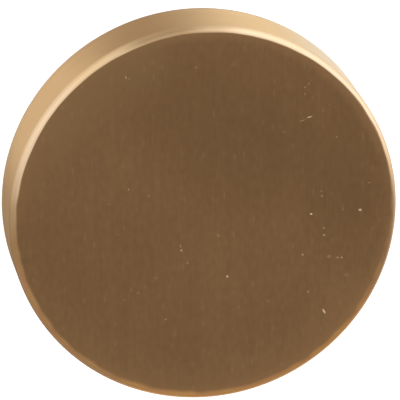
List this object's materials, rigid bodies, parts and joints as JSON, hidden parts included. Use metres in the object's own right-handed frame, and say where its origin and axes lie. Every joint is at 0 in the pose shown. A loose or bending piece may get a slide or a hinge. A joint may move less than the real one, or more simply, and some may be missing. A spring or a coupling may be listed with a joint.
{
  "type": "cabinet knob",
  "caption": "Plain round disc knob on a short round stem, brushed bronze-toned brass, with a blind screw hole in the foot of the stem.",
  "frame": {"origin": "centre of the foot, the flat end of the stem that goes against the door or drawer front", "axes": "+Z along the knob's axis from the foot to the front face, +Y the way the front face is brushed, which is up when the knob is on an upright door"},
  "size_m": [0.035, 0.035, 0.025],
  "materials": {
    "brushed_brass": "satin, brushed in straight lines on the front face and round the rim and stem, light brown bronze tone, clear lacquer worn to small light nicks on the face"
  },
  "bodies": {
    "root": {"knob": "brushed_brass"}
  },
  "joints": []
}
